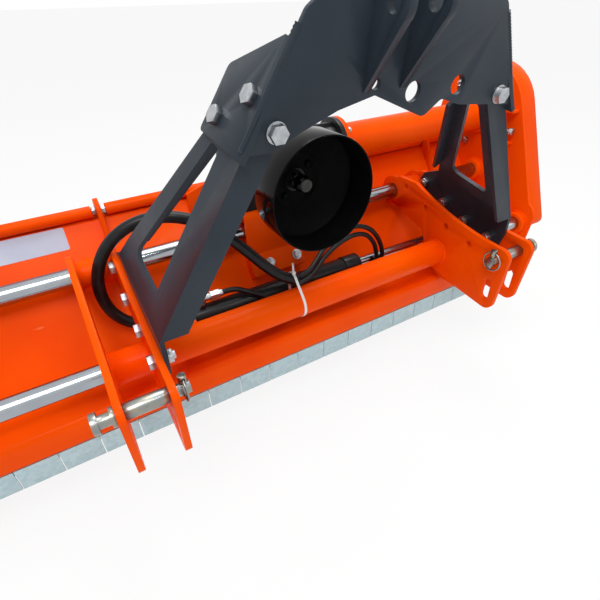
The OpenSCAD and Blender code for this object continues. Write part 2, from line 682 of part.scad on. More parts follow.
// Belt tension bolt in its tab, two stiffening tabs and a plate bolt on the case's back
module belt_tensioner() color(orange) from_rail() {
    tab = 26;
    for (z = [pto_up + 28, pto_up - 58]) translate([half_w - tab, drive_back - 140, z]) cube([tab, 56, 8]);
    difference() {
        translate([half_w - tab, drive_back - 100, pto_up - 34]) cube([tab, 8, 26]);
        translate([half_w - tab / 2 - 2, drive_back - 101, pto_up - 21]) rod_y(0, 10, 6 + run_gap);
    }
    color(zinc) translate([half_w - tab / 2 - 2, drive_back - 100, pto_up - 21]) {
        rod_y(-36, 70, 6);
        rotate([90, 0, 0]) translate([0, 0, 36 - eps]) cylinder(h = 9, d = 21, $fn = 6);
    }
    color(zinc) translate([0, drive_back + 22, pto_up - 81]) hex_x(half_w - 9, 9, 19);
}

// Rotor

module on_rotor() from_rail() translate([0, rotor_back, rotor_z]) children();
module at_hammers() on_rotor() for (i = [0:hammer_n - 1])
    translate([(i - (hammer_n - 1) / 2) * hammer_step, 0, 0]) rotate([i * hammer_turn, 0, 0]) children();

module rotor_tube() color(orange) on_rotor() {
    tube_x(-rotor_len / 2, rotor_len, rotor_d / 2, rotor_d / 2 - 8);
    for (s = [-1, 1]) rod_x(s < 0 ? -rotor_len / 2 : rotor_len / 2 - 14, 14, rotor_d / 2 - 8 + eps);
    rod_x(-half_w + 1, half_w - 1 - rotor_len / 2 + 10, stub_d / 2);
    rod_x(rotor_len / 2 - 10, pulley_x + pulley_w - rotor_len / 2 + 10, stub_d / 2);
}

// Pairs of ears that hold the hammers
module hammer_lugs() color(orange) at_hammers()
    for (s = [-1, 1]) difference() {
        translate([s * (hammer_w / 2 + 1 + lug_plate_t / 2) - lug_plate_t / 2, 0, 0]) rotate([90, 0, 90])
            linear_extrude(lug_plate_t) {
                translate([0, hammer_bolt_r]) circle(16);
                polygon([[-22, rotor_d / 2 - 4], [22, rotor_d / 2 - 4], [16, hammer_bolt_r], [-16, hammer_bolt_r]]);
            }
        translate([0, 0, hammer_bolt_r]) rod_x(-60, 120, 8 + run_gap);
        rod_x(-60, 120, rotor_d / 2);
    }

// Hammers: an eye, a shank and a broad curved striking head
module hammers() color(steel) at_hammers() translate([-hammer_w / 2, 0, 0]) rotate([90, 0, 90])
    linear_extrude(hammer_w) difference() {
        intersection() {
            union() {
                translate([0, hammer_bolt_r]) circle(15);
                polygon(outline([[-15, hammer_bolt_r], [15, hammer_bolt_r], [14, cut_r - 44, 8], [32, cut_r - 22, 6],
                    [34, cut_r + 4], [-34, cut_r + 4], [-32, cut_r - 22, 6], [-14, cut_r - 44, 8]], 4));
            }
            circle(cut_r, $fn = 96);
        }
        translate([0, hammer_bolt_r]) circle(8 + run_gap);
    }

module hammer_bolts() color(zinc) at_hammers() translate([0, 0, hammer_bolt_r]) {
    grip = hammer_w + 2 + 2 * lug_plate_t;
    bolt_x(-grip / 2, grip, 16);
}

// Pulley with a groove for each belt
module pulley(d, bore) rotate([0, 90, 0]) difference() {
    cylinder(h = pulley_w, d = d);
    translate([0, 0, -1]) cylinder(h = pulley_w + 2, r = bore);
    for (i = [0:belt_n - 1]) translate([0, 0, 10 + i * belt_pitch]) rotate_extrude()
        polygon([[d / 2 + 1, -5.5], [d / 2 + 1, 5.5], [d / 2 - belt_h - 1.5, 4.6], [d / 2 - belt_h - 1.5, -4.6]]);
    for (a = [0:72:288]) rotate([0, 0, a]) translate([d / 4 + bore / 2 - 4, 0, -1]) cylinder(h = pulley_w + 2, r = d / 14);
}
module rotor_pulley() color(steel) on_rotor() translate([pulley_x, 0, 0]) pulley(rotor_pulley_d, stub_d / 2);

// Cross shaft and PTO shaft

module cross_shaft() color(steel) from_rail() translate([0, drive_back, pto_up])
    rod_x(flange_x - 50, pulley_x + pulley_w - flange_x + 50, cross_d / 2);

module drive_pulley() color(steel) from_rail() translate([pulley_x, drive_back, pto_up])
    pulley(drive_pulley_d, cross_d / 2);

// Splined stub with a locking groove
module pto_shaft() color(steel) from_rail() translate([gearbox_x, 0, pto_up]) {
    front = nose_front - 44;
    groove_y = front + 22;
    difference() {
        union() {
            rod_y(front + 5, nose_front + 55 - front, pto_d / 2);
            translate([0, front, 0]) rotate([-90, 0, 0]) cylinder(h = 5, r1 = pto_d / 2 - 5, r2 = pto_d / 2);
        }
        for (a = [0:60:300]) rotate([0, a, 0]) translate([-4.3, front - 1, pto_d / 2 - 3]) cube([8.6, 38, 6]);
        translate([0, groove_y, 0]) rotate([-90, 0, 0]) rotate_extrude()
            translate([pto_d / 2 + 3, 0]) circle(6);
    }
}

module rear_roller() color(steel) from_rail() translate([0, roller_back, roller_z]) {
    tube_x(-roller_len / 2, roller_len, roller_d / 2, roller_d / 2 - 6);
    for (x = [-roller_len / 2, roller_len / 2 - 10]) rod_x(x, 10, roller_d / 2 - 6 + eps);
    for (s = [-1, 1]) rod_x(s < 0 ? -half_w + 1 : roller_len / 2 - 5, half_w - 1 - roller_len / 2 + 5, axle_d / 2);
}

// Front flaps: plates that hang from knuckles on the rod
module front_flaps() color(galvanised) from_rail()
    for (i = [0:flap_n - 1]) {
        w = flap_pitch - flap_gap;
        x = (i - (flap_n - 1) / 2) * flap_pitch - w / 2;
        difference() {
            across(x, w) {
                translate([flap_axis_y, flap_axis_z]) circle(knuckle_r);
                translate([flap_axis_y - knuckle_r, flap_axis_z + knuckle_r - flap_h]) square([flap_t, flap_h]);
                translate([flap_axis_y - knuckle_r, flap_axis_z]) square([knuckle_r, knuckle_r]);
            }
            translate([0, flap_axis_y, flap_axis_z]) rod_x(x - 1, w + 2, flap_rod_d / 2 + run_gap);
        }
    }

// Rear hood: a curved sheet on ridge tubes, open at the hinge lugs
module rear_hood() color(orange) from_rail() {
    sheet = path([[hinge_y + 8, hinge_z + ridge_tube_d / 2 - 6], [hinge_y + 215, hinge_z - 98, 110],
        [roller_back + 62, roller_z + 180]], 10);
    notch_r = lug_r + 6;
    stops = concat([-rear_hood_half - tube_stop], lug_places, [rear_hood_half + tube_stop]);
    difference() {
        across(-rear_hood_half, 2 * rear_hood_half) polygon(strip(sheet, -rear_hood_t));
        translate([0, hinge_y, hinge_z]) for (x = lug_places) rod_x(x - tube_stop, 2 * tube_stop, notch_r);
        translate([0, hinge_y, hinge_z]) rod_x(-half_w, body_w, ridge_tube_d / 2 - 1);
    }
    translate([0, hinge_y, hinge_z]) for (i = [0:len(stops) - 2])
        tube_x(stops[i] + tube_stop, stops[i + 1] - stops[i] - 2 * tube_stop, ridge_tube_d / 2,
            hinge_bolt_d / 2 + run_gap);
}

// Hitch carriage

module hitch_outline() {
    rim = [for (k = [1:10]) let (y = nose_y + 45 + (rim_top_y - nose_y - 45) * (k - 1) / 9) [y, rim_z(y)]];
    polygon(outline(concat([[nose_y, nose_z, nose_r]], rim, [[rail_back - 16, rim_z(rim_top_y), 10],
        [rail_back + 25, rail_up - 22], [rail_back - 40, rail_up - 45], [cyl_back - 16, 43, 10], [48, 16],
        [20, -front_boss_r + 6], [-25, -ledge_drop + 14], [-88, -ledge_drop + 12], [-170, tip_z],
        [tip_y, tip_z - 2, nose_r]])));
    circle(front_boss_r);
    translate([rail_back, rail_up]) circle(rear_boss_r);
}
module hitch_plate(x) color(orange) on_carriage() difference() {
    across(x, plate_t) difference() {
        hitch_outline();
        circle(sleeve_d / 2 + run_gap);
        translate([rail_back, rail_up]) circle(rail_r + 1);
        for (p = plate_bolts) translate(p) circle(bolt_hole_r);
        translate([-pin_fwd, pin_up]) circle(pin_d / 2 + run_gap);
        for (z = [0, slot_len]) translate([-pin_fwd + 5, z - 42]) circle(slot_w / 2);
        translate([-pin_fwd + 5 - slot_w / 2, -42]) square([slot_w, slot_len]);
    }
}
module hitch_plate_a() hitch_plate(plate_a);
module hitch_plate_b() hitch_plate(plate_b);
module hitch_plate_c() hitch_plate(plate_c);
module hitch_plate_d() hitch_plate(plate_d);

module front_sleeve() color(orange) on_carriage()
    tube_x(plate_a, plate_d + plate_t - plate_a, sleeve_d / 2, rail_r + bush_wall);

module rear_sleeves() color(orange) on_carriage() translate([0, rail_back, rail_up])
    for (x = [plate_a, plate_c]) tube_x(x + plate_t, hitch_gap, rear_sleeve_d / 2, rail_r + bush_wall);

module slide_bushes() color(brass) on_carriage() {
    for (x = [plate_a, plate_d + plate_t - bush_len]) tube_x(x, bush_len, rail_r + bush_wall, rail_r + run_gap);
    translate([0, rail_back, rail_up]) for (x = [plate_a, plate_c])
        tube_x(x + plate_t + (hitch_gap - bush_len) / 2, bush_len, rail_r + bush_wall, rail_r + run_gap);
}

// Leg: a tab bolted to the hitch plate, a leaning web with a window, and two flanges
module at_web() translate([0, fold_y, fold_z]) rotate([fold_slope, 0, 0]) rotate([0, leg_lean, 0]) children();
module at_front() translate([0, fold_y, fold_z]) rotate([front_tilt, 0, 0]) children();
module leg() difference() {
    union() {
        at_web() across(0, leg_t) difference() {
            polygon([[0, 0], [leg_len, 0], [leg_len - 13, 54],
                [leg_len - 13 - rear_run * (leg_top - 54), leg_top], [leg_top * 0.101, leg_top]]);
            polygon(outline([[72, 44, 12], [190, 44, 16], [118, 300, 8], [92, 300, 8]], 5));
        }
        at_front() rotate([90, 0, 0]) translate([0, 0, -leg_t]) linear_extrude(leg_t)
            polygon([[0, 0], [flange_w, 0], [flange_w + lean_run * leg_top, leg_top], [lean_run * leg_top, leg_top]]);
        at_web() translate([0, leg_len - 13, 54]) rotate([atan(rear_run), 0, 0]) translate([0, -leg_t, 0])
            cube([rear_flange_w, leg_t, rear_flange_len]);
        across(0, leg_t) polygon([[fold_y, fold_z], [fold_y + 237, fold_z + 52], [150, 164], [164, 140], [150, 118],
            [60, 82], [-18, 58], [-97, 44], [-126, 50], [fold_y, 92]]);
    }
    for (p = plate_bolts) translate([0, p[0], p[1]]) rod_x(-1, leg_t + 2, bolt_hole_r);
    for (p = mast_bolts) at_web() translate([0, p[0], p[1]]) rod_x(-1, leg_t + 2, bolt_hole_r);
}
module left_leg() color(slate) on_carriage() translate([leg_left_x, 0, 0]) leg();
module right_leg() color(slate) on_carriage() translate([leg_right_x, 0, 0]) mirror([1, 0, 0]) leg();

// Mast: a front plate with a peaked lower edge, and a cheek over each leg
module mast_cheek() at_web() across(-mast_t, mast_t) difference() {
    polygon(outline([[18, 312], [150, 302, 6], [152, 402, 14], [60, 470], [46, 470]], 4));
    for (p = mast_bolts) translate(p) circle(bolt_hole_r);
}
module mast() color(slate) on_carriage() {
    left = function(h) leg_left_x + lean_run * h - 9;
    right = function(h) leg_right_x - lean_run * h + 9;
    at_front() rotate([90, 0, 0]) linear_extrude(mast_t) difference() {
        polygon(outline([[left(280), 280], [-183, 277, 6], [-141, 297], [-80, 319], [-17, 332, 8], [88, 288, 16],
            [122, 312, 10], [165, 298, 18],
            [right(281), 281], [right(440), 440, 20], [72, mast_top, 16], [-72, mast_top, 16], [left(440), 440, 20]], 5));
        for (x = [57, 153]) translate([x, 329]) circle(15);
        translate([-18, 347]) circle(8);
    }
    translate([leg_left_x, 0, 0]) mast_cheek();
    translate([leg_right_x, 0, 0]) mirror([1, 0, 0]) mast_cheek();
}

// Ears for the tractor's top link, in front of the mast
module top_link_ears() color(slate) on_carriage()
    for (x = [-ear_gap / 2 - ear_t, ear_gap / 2]) across(x, ear_t) difference() {
        union() {
            translate([top_link_y, top_link_z]) circle(ear_r);
            low = top_link_z - 106;
            high = top_link_z + 32;
            polygon([[mast_face_y(low), low], [mast_face_y(high), high], [top_link_y + 4, top_link_z + ear_r],
                [top_link_y - ear_r, top_link_z], [top_link_y - ear_r + 4, top_link_z - 14]]);
        }
        translate([top_link_y, top_link_z]) circle(top_link_d / 2);
    }

module headstock_bolts() color(zinc) on_carriage() {
    for (p = plate_bolts) translate([0, p[0], p[1]]) {
        bolt_x(plate_b, plate_t + leg_t, bolt_d);
        translate([plate_d + plate_t, 0, 0]) mirror([1, 0, 0]) bolt_x(0, plate_t + leg_t, bolt_d);
    }
    for (p = mast_bolts) {
        translate([leg_left_x, 0, 0]) at_web() translate([0, p[0], p[1]]) bolt_x(-mast_t, mast_t + leg_t, bolt_d);
        translate([leg_right_x, 0, 0]) mirror([1, 0, 0]) at_web() translate([0, p[0], p[1]])
            bolt_x(-mast_t, mast_t + leg_t, bolt_d);
    }
    for (x = [leg_left_x + 209, leg_right_x - 209]) at_front() translate([x, -mast_t, 304]) rotate([90, 0, 0]) {
        cylinder(h = 3, r = bolt_d * 0.95);
        cylinder(h = 3 + 0.65 * bolt_d, d = 1.5 * bolt_d / cos(30), $fn = 6);
    }
}

// Side-shift cylinder on the carriage

module on_cylinder() on_carriage() translate([0, cyl_back, -cyl_drop]) children();

module cylinder_barrel() color(black) on_cylinder() difference() {
    union() {
        rod_x(barrel_x, barrel_len - gland_len, barrel_r);
        translate([barrel_x - 18, 0, -12]) cylinder(h = 24, r = 18);
        translate([barrel_x - 18, -14, -12]) cube([20, 28, 24]);
        translate([barrel_x + 26, 0, 0]) cylinder(h = barrel_r + 8, r = 11);
    }
    rod_x(barrel_x + base_len, barrel_len, bore_d / 2);
    translate([barrel_x - 18, 0, -30]) cylinder(h = 60, d = eye_pin_d + 2 * run_gap);
}

module cylinder_gland() color(black) on_cylinder() difference() {
    union() {
        rod_x(barrel_x + barrel_len - gland_len, gland_len, barrel_r + 2);
        translate([barrel_x + barrel_len - 22, 0, -barrel_r - 8]) cylinder(h = barrel_r + 8, r = 11);
    }
    rod_x(barrel_x + barrel_len - gland_len - 1, gland_len + 2, rod_d / 2 + run_gap);
}

// Base lug: two ears welded to the front sleeve
module cylinder_base_lug() color(orange) on_carriage() difference() {
    x = barrel_x - 18;
    for (z = [12 + clear, -12 - clear - ear_plate_t]) translate([x, 0, z - cyl_drop]) union() {
        translate([0, cyl_back, 0]) cylinder(h = ear_plate_t, r = 18);
        translate([-18, 0, 0]) cube([36, cyl_back, ear_plate_t]);
    }
    rod_x(x - 30, 60, sleeve_d / 2);
    translate([x, cyl_back, -50]) cylinder(h = 100, d = eye_pin_d + 2 * run_gap);
}

module base_pin() color(zinc) on_cylinder() translate([barrel_x - 18, 0, 0]) {
    len = 24 + 2 * clear + 2 * ear_plate_t;
    translate([0, 0, -len / 2 - 5]) cylinder(h = len + 5 + eps, d = eye_pin_d);
    translate([0, 0, len / 2]) cylinder(h = 5, d = eye_pin_d + 8);
}

// Hoses

module hose_loop() color(black) on_carriage() hose(loop_route, loop_d, 2, 12);
module hose_rod_side() color(black) on_carriage() hose(rod_side_route, hose_d, 2);
module hose_base_side() color(black) on_carriage() hose(base_side_route, hose_d, 2);

// Ends of the hoses: an elbow on each port of the cylinder, and the two couplers of the sleeve
module hose_fittings() color(zinc) on_carriage() {
    base_x = barrel_x + 26;
    gland_x = barrel_x + barrel_len - 22;
    port = barrel_r + 8;
    translate([base_x, cyl_back, port - cyl_drop]) cylinder(h = 20, r = 10);
    translate([0, cyl_back, port + 12 - cyl_drop]) {
        rod_x(base_x, 51, 8);
        hex_x(base_x + 22, 22, 20);
    }
    translate([gland_x, cyl_back, -cyl_drop - port - 20]) cylinder(h = 20, r = 10);
    translate([0, cyl_back, -cyl_drop - port - 10]) {
        rod_x(gland_x, 33, 8);
        hex_x(gland_x + 14, 14, 20);
    }
    for (s = [-1, 1]) translate([-329.2, 118 + s * 8, -8]) {
        rod_x(0, 34, 7);
        hex_x(34, 14, 14);
    }
}

// Cable tie round the front sleeve and the hose sleeve
module cable_tie() color(tie_white) on_carriage() {
    at = [22.6, 50.8];
    across(-54, 6) difference() {
        loop_shape([0, 0], sleeve_d / 2 + 1.8, at, loop_d / 2 + 5.8);
        loop_shape([0, 0], sleeve_d / 2 + 0.2, at, loop_d / 2 + 4.2);
    }
}

// Hitch pins, written for the left hitch point and mirrored for the right one

lynch_x = plate_b + plate_t + 14;
ring_r = 22;
ring_wire_r = 2;
module hitch_pin() translate([0, -pin_fwd, pin_up]) difference() {
    union() {
        rod_x(plate_a - 32, lynch_x + 10 - plate_a + 32, pin_d / 2);
        rod_x(plate_a + plate_t + clear, hitch_gap - 2 * clear, pin_d / 2 + 3);
        rod_x(plate_a - 8, 8 - clear, pin_d / 2 + 6);
        rod_x(plate_a - 36, 10, pin_d / 2 + 7);
        translate([lynch_x, 0, 5 - ring_r]) cylinder(h = 2 * ring_r - 8, r = 4.5);
        translate([lynch_x, 0, ring_r - 6]) cylinder(h = 13, r = 7);
    }
    translate([lynch_x, 0, ring_r]) rod_y(-20, 40, ring_wire_r + 1.6);
}
module hitch_pin_left() color(zinc) on_carriage() hitch_pin();
module hitch_pin_right() color(zinc) on_carriage() mirror([1, 0, 0]) hitch_pin();

module lynch_ring() translate([lynch_x, -pin_fwd, pin_up]) rotate([0, 90, 0])
    rotate_extrude() translate([ring_r, 0]) circle(ring_wire_r, $fn = 24);
module lynch_ring_left() color(brass) on_carriage() lynch_ring();
module lynch_ring_right() color(brass) on_carriage() mirror([1, 0, 0]) lynch_ring();

hood_shell();
left_side_plate();
right_side_plate();
front_rail();
rear_rail();
rail_bosses();
hood_hinge_lugs();
hood_hinge_bolts();
gearbox_saddle();
gearbox();
gearbox_bolts();
pto_guard();
drive_tube();
belt_cover();
belts();
shaft_bearings();
skids();
roller_brackets();
flap_rod();
cylinder_rod();
rod_lug();
rod_pin();
belt_tensioner();
rotor_tube();
hammer_lugs();
hammers();
hammer_bolts();
rotor_pulley();
cross_shaft();
drive_pulley();
pto_shaft();
rear_roller();
front_flaps();
rear_hood();
hitch_plate_a();
hitch_plate_b();
hitch_plate_c();
hitch_plate_d();
front_sleeve();
rear_sleeves();
slide_bushes();
left_leg();
right_leg();
mast();
top_link_ears();
headstock_bolts();
cylinder_barrel();
cylinder_gland();
cylinder_base_lug();
base_pin();
hose_loop();
hose_rod_side();
hose_base_side();
hose_fittings();
cable_tie();
hitch_pin_left();
hitch_pin_right();
lynch_ring_left();
lynch_ring_right();
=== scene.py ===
# %% [markdown]
# # Dressing a flail mower
# The machine mulches grass and twigs behind a tractor. Its body carries two chromed rails, and a hitch
# carriage slides along them on bushes, pushed by a hydraulic cylinder. The solids come from the part's
# source and are already in their places. This lesson gives them finishes, softens their edges, and adds
# what solids leave out: hoses, weld beads, a bare decal and the small marks of use.

# %% Load the solids
import json
import math

import bpy
from mathutils import Matrix, Vector


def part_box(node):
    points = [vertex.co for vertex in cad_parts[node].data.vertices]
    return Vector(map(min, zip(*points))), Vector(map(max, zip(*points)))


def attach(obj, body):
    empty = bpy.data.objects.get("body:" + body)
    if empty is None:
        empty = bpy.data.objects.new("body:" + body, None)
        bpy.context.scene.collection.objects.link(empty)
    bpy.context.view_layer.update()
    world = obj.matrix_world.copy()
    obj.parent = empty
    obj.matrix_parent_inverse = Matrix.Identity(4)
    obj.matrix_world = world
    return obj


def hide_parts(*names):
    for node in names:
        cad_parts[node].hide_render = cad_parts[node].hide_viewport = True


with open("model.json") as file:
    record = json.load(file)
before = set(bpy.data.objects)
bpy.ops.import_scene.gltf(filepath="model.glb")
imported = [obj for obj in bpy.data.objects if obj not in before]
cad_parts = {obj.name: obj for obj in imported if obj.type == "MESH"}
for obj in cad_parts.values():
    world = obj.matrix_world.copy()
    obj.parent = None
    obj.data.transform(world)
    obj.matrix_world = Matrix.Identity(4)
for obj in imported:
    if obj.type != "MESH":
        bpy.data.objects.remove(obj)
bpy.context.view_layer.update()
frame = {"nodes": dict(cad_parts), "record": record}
nodes = frame["nodes"]
bpy.context.scene.view_settings.view_transform = "Standard"

# %% [markdown]
# All places below are given the way the source gives them, in millimetres from the front rail's axis:
# x from the middle of the body, y to the rear and z upwards. The rail's own box tells where that is.
# The carriage's middle is the middle of its long sleeve.

# %% Places in the frame
rail_low, rail_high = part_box("front_rail")
rail_mid = (rail_low + rail_high) / 2
sleeve_low, sleeve_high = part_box("front_sleeve")
carriage_x = ((sleeve_low.x + sleeve_high.x) / 2 - rail_mid.x) * 1000


def place(x, y, z):
    """A point given in millimetres from the front rail's middle, in metres in the frame."""
    return rail_mid + Vector((x, y, z)) / 1000


def on_carriage(x, y, z):
    """The same, counted from the carriage's middle."""
    return place(x + carriage_x, y, z)


def put(name, data):
    """A new object in the scene."""
    made = bpy.data.objects.new(name, data)
    bpy.context.scene.collection.objects.link(made)
    return made


print("carriage stands", round(carriage_x, 1), "mm right of the middle")

# %% [markdown]
# The photograph was taken close up, from the left of the headstock and above it, with a wide lens. The
# camera stands where the straight lines of the rails and the hitch plates say it stood: its three axes
# are its right, its up and its back. A small shift moves the picture by two pixels.

# %% Camera
eye = place(-308.1, -694.7, 579.1)
right = Vector((0.85879, -0.51185, -0.02223))
up = Vector((0.3127, 0.4893, 0.8141))
back = Vector((-0.4058, -0.7061, 0.5802))
pixels_across = 600
camera_data = bpy.data.cameras.new("camera")
camera_data.sensor_width, camera_data.lens = 36.0, 25.43
camera_data.shift_x, camera_data.shift_y = 2 / pixels_across, -1 / pixels_across
camera_data.clip_start = 0.02
camera = put("camera", camera_data)
camera.matrix_world = Matrix.Translation(eye) @ Matrix((right, up, back)).transposed().to_4x4()
bpy.context.scene.camera = camera
print("camera at", tuple(round(c, 3) for c in camera.location))

# %% [markdown]
# A finish is a small tree of nodes. A few helpers keep the trees readable: they make a material, add a
# node and join its inputs, and give a noise on Object coordinates. A noise then drives an input of the
# shader through a ramp between two colours, or its bump. The finished pieces all sit at the origin, so
# a pattern has the same scale on every piece.

# %% Helpers for finishes
def shader_of(material):
    return material.node_tree.nodes["Principled BSDF"]


def finish_of(name, roughness=0.5, metallic=0.0, coat=0.0, specular=0.5):
    material = bpy.data.materials.new(name)
    material.use_nodes = True
    plain = {"Roughness": roughness, "Metallic": metallic, "Coat Weight": coat, "Coat Roughness": 0.08,
        "Specular IOR Level": specular}
    for socket, value in plain.items():
        shader_of(material).inputs[socket].default_value = value
    return material


def add(owner, kind, joins=(), **values):
    """A new node; each of its joins is an input's name with a plain value or another node's output."""
    node = owner.node_tree.nodes.new(kind)
    for key, value in values.items():
        setattr(node, key, value)
    for socket, source in joins:
        if hasattr(source, "is_linked"):
            owner.node_tree.links.new(source, node.inputs[socket])
        else:
            node.inputs[socket].default_value = source
    return node


def noise_of(material, scale, detail, stretch=(1, 1, 1)):
    where = add(material, "ShaderNodeTexCoord")
    turned = add(material, "ShaderNodeMapping", [("Vector", where.outputs["Object"]), ("Scale", stretch)])
    noise = add(material, "ShaderNodeTexNoise",
        [("Vector", turned.outputs["Vector"]), ("Scale", scale), ("Detail", detail)])
    return noise.outputs["Fac"]


def ramp_of(material, pattern, span, first, second):
    """The first colour where the pattern is below the span, the second above it, and a blend between."""
    ramp = add(material, "ShaderNodeValToRGB", [("Fac", pattern)])
    for stop, at, colour in zip(ramp.color_ramp.elements, span, (first, second)):
        stop.position, stop.color = at, (*colour, 1.0)
    return ramp.outputs["Color"]


def drive(material, socket, source):
    material.node_tree.links.new(source, shader_of(material).inputs[socket])


def vary(material, socket, pattern, span, first, second):
    drive(material, socket, ramp_of(material, pattern, span, first, second))


def grain(material, scale, detail, distance, strength):
    """A fine bump over the whole finish."""
    height = noise_of(material, scale, detail)
    bump = add(material, "ShaderNodeBump", [("Height", height), ("Distance", distance), ("Strength", strength)])
    drive(material, "Normal", bump.outputs["Normal"])


def grey(value):
    return (value, value, value)


print("finish helpers ready")

# %% [markdown]
# The body wears a bright orange powder coat. Powder flows out to a gloss with a faint orange peel, so
# the finish has a fine bump, a slow change of tone and a gloss that varies a little. Thin pale scuffs
# lie where the carriage and the packing rubbed: a stretched noise, cut to its very top, gives them.

# %% Orange powder coat
orange = finish_of("orange_powder_coat", coat=0.02, specular=0.04)
tone = ramp_of(orange, noise_of(orange, 5.0, 3.0), (0.3, 0.7), (0.9, 0.068, 0.0002), (0.97, 0.096, 0.0004))
scuff = noise_of(orange, 26.0, 8.0, stretch=(0.5, 2.2, 2.2))
mark = ramp_of(orange, scuff, (0.74, 0.79), grey(0.0), grey(0.5))
rubbed = (1.0, 0.3, 0.12, 1.0)
worn = add(orange, "ShaderNodeMix", [("Factor", mark), ("A", tone), ("B", rubbed)], data_type="RGBA")
drive(orange, "Base Color", worn.outputs["Result"])
vary(orange, "Roughness", noise_of(orange, 14.0, 5.0), (0.3, 0.75), grey(0.28), grey(0.4))
grain(orange, 420.0, 2.0, 0.0004, 0.12)
print("made", orange.name)

# %% [markdown]
# The headstock is painted a dark slate grey, smoother and less saturated than the body, with a satin
# sheen. Dust settles on it unevenly, so its tone and its gloss both follow a soft noise.

# %% Slate paint
slate = finish_of("slate_satin_paint", coat=0.03, specular=0.16)
vary(slate, "Base Color", noise_of(slate, 7.0, 6.0), (0.3, 0.72), (0.02, 0.029, 0.04), (0.035, 0.046, 0.06))
vary(slate, "Roughness", noise_of(slate, 24.0, 6.0), (0.3, 0.7), grey(0.26), grey(0.42))
grain(slate, 380.0, 2.0, 0.0004, 0.15)
print("made", slate.name)

# %% [markdown]
# Black comes four ways here: a glossy moulded guard, its dull inside darkened with painted shade, the satin
# paint on the gearbox and the cylinder, and the rubber of hoses and belts. They differ in gloss and in the
# grain of their bump.

# %% Blacks
guard_black = finish_of("guard_black_plastic", coat=0.06, specular=0.1)
vary(guard_black, "Roughness", noise_of(guard_black, 9.0, 5.0), (0.35, 0.75), grey(0.1), grey(0.2))
vary(guard_black, "Base Color", noise_of(guard_black, 40.0, 4.0), (0.35, 0.75),
    (0.003, 0.003, 0.004), (0.006, 0.006, 0.007))
grain(guard_black, 160.0, 3.0, 0.0003, 0.1)

# Painted shade: this finish is darker than the guard's black because little light gets inside the guard.
painted_shade_in_guard = finish_of("painted_shade_in_guard", 0.55, specular=0.06)
vary(painted_shade_in_guard, "Base Color", noise_of(painted_shade_in_guard, 50.0, 5.0), (0.35, 0.75), grey(0.0015), grey(0.004))
grain(painted_shade_in_guard, 160.0, 3.0, 0.0003, 0.1)

black_paint = finish_of("black_machine_paint", 0.32, coat=0.05, specular=0.2)
vary(black_paint, "Base Color", noise_of(black_paint, 30.0, 6.0), (0.3, 0.75),
    (0.006, 0.006, 0.007), (0.017, 0.016, 0.016))
grain(black_paint, 210.0, 4.0, 0.0006, 0.35)

rubber = finish_of("hose_rubber", 0.34, specular=0.25)
vary(rubber, "Base Color", noise_of(rubber, 60.0, 5.0), (0.35, 0.75),
    (0.004, 0.004, 0.005), (0.012, 0.012, 0.013))
grain(rubber, 700.0, 2.0, 0.0005, 0.3)
print("made four blacks")

# %% [markdown]
# Bare metals come next. The rails and the cylinder rod are ground and chromed, so fine lines run round
# them: a noise squeezed along the bar. Bolts are zinc plated, the hitch pins have a yellow zinc, and the
# flaps are galvanised sheet with a dull spangle, which a Voronoi texture draws as patches. Turned steel
# rusts in spots. The last one is no metal: the white nylon of the cable tie lets a little light in.

# %% Bare metals
chrome = finish_of("ground_chrome", metallic=1.0)
vary(chrome, "Roughness", noise_of(chrome, 90.0, 3.0, stretch=(6, 0.4, 0.4)), (0.3, 0.75), grey(0.16), grey(0.23))
vary(chrome, "Base Color", noise_of(chrome, 20.0, 4.0), (0.3, 0.75), (0.34, 0.37, 0.4), (0.4, 0.43, 0.46))

zinc = finish_of("bright_zinc", 0.34, metallic=1.0)
vary(zinc, "Base Color", noise_of(zinc, 120.0, 5.0), (0.3, 0.75), (0.36, 0.38, 0.4), (0.56, 0.57, 0.59))
grain(zinc, 300.0, 3.0, 0.0004, 0.2)

pin_zinc = finish_of("yellow_zinc_plating", 0.3, metallic=1.0)
vary(pin_zinc, "Base Color", noise_of(pin_zinc, 60.0, 5.0), (0.35, 0.7), (0.24, 0.27, 0.28), (0.36, 0.33, 0.25))
grain(pin_zinc, 240.0, 3.0, 0.0004, 0.25)

galvanised = finish_of("galvanised_sheet", 0.42, metallic=0.1)
where = add(galvanised, "ShaderNodeTexCoord")
spangle = add(galvanised, "ShaderNodeTexVoronoi", [("Vector", where.outputs["Object"]), ("Scale", 110.0)])
vary(galvanised, "Base Color", spangle.outputs["Color"], (0.1, 0.9), (0.4, 0.56, 0.6), (0.51, 0.66, 0.7))
grain(galvanised, 150.0, 3.0, 0.0004, 0.2)

steel = finish_of("turned_steel", 0.36, metallic=1.0)
vary(steel, "Base Color", noise_of(steel, 30.0, 8.0), (0.58, 0.84), (0.42, 0.42, 0.43), (0.3, 0.22, 0.17))
grain(steel, 260.0, 4.0, 0.0005, 0.25)

oiled_steel = finish_of("oiled_steel", 0.4, metallic=0.9)
vary(oiled_steel, "Base Color", noise_of(oiled_steel, 90.0, 5.0), (0.3, 0.75), grey(0.03), (0.075, 0.072, 0.068))
grain(oiled_steel, 260.0, 4.0, 0.0004, 0.2)

casting = finish_of("dark_casting", 0.55, metallic=0.7)
vary(casting, "Base Color", noise_of(casting, 40.0, 5.0), (0.3, 0.75), (0.06, 0.06, 0.063), (0.13, 0.12, 0.11))
grain(casting, 240.0, 5.0, 0.0012, 0.5)

bronze = finish_of("bush_bronze", 0.3, metallic=1.0)
vary(bronze, "Base Color", noise_of(bronze, 80.0, 4.0), (0.3, 0.7), (0.5, 0.33, 0.13), (0.68, 0.48, 0.21))

nylon = finish_of("white_nylon", 0.4)
vary(nylon, "Base Color", noise_of(nylon, 150.0, 3.0), (0.3, 0.7), (0.8, 0.79, 0.77), (0.9, 0.89, 0.87))
shader_of(nylon).inputs["Subsurface Weight"].default_value = 0.05
print("made the metals and the nylon")

